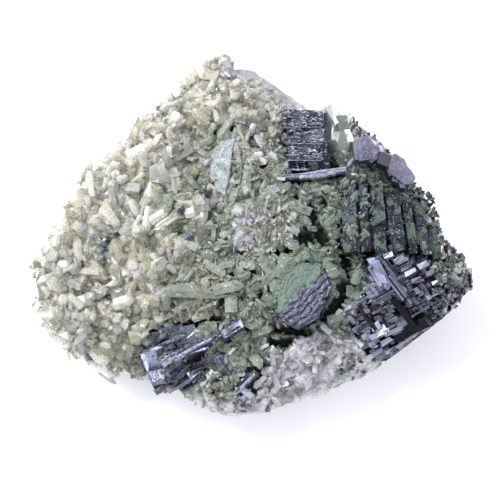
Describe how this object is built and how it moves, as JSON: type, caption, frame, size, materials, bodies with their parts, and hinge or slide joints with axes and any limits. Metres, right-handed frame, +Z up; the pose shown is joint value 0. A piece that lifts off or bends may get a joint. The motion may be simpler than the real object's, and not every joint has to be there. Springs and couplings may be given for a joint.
{
  "type": "galena with quartz mineral specimen",
  "caption": "Mineral specimen: stepped, ribbed and bladed galena and a crust of pale quartz crystals on massive quartz, partly coated with green chlorite, lying on its flat broken back",
  "frame": {"origin": "middle of the box in plan, on the surface that the specimen lies on", "axes": "+X along the long way of the specimen, +Y across it towards the pale peak, +Z up out of the crystal side"},
  "size_m": [0.1096, 0.0908, 0.0354],
  "materials": {
    "massive_quartz": "rough, milky",
    "druse_quartz": "clear to milky crystal faces",
    "chlorite": "earthy, matt",
    "galena": "metallic, cleavage faces",
    "dark_grain": "sub-metallic"
  },
  "bodies": {
    "root": {"quartz_matrix": "massive_quartz", "quartz_druse": "druse_quartz", "chlorite_crust": "chlorite", "galena_cube": "galena", "galena_ledge": "galena", "galena_stepped": "galena", "galena_columns": "galena", "galena_blades": "galena", "galena_wedge": "galena", "galena_lens": "galena", "galena_slab_1": "galena", "galena_slab_2": "galena", "galena_slab_3": "galena", "galena_block": "galena", "grain_1": "dark_grain", "grain_2": "dark_grain", "grain_3": "dark_grain", "grain_4": "dark_grain"}
  },
  "joints": []
}
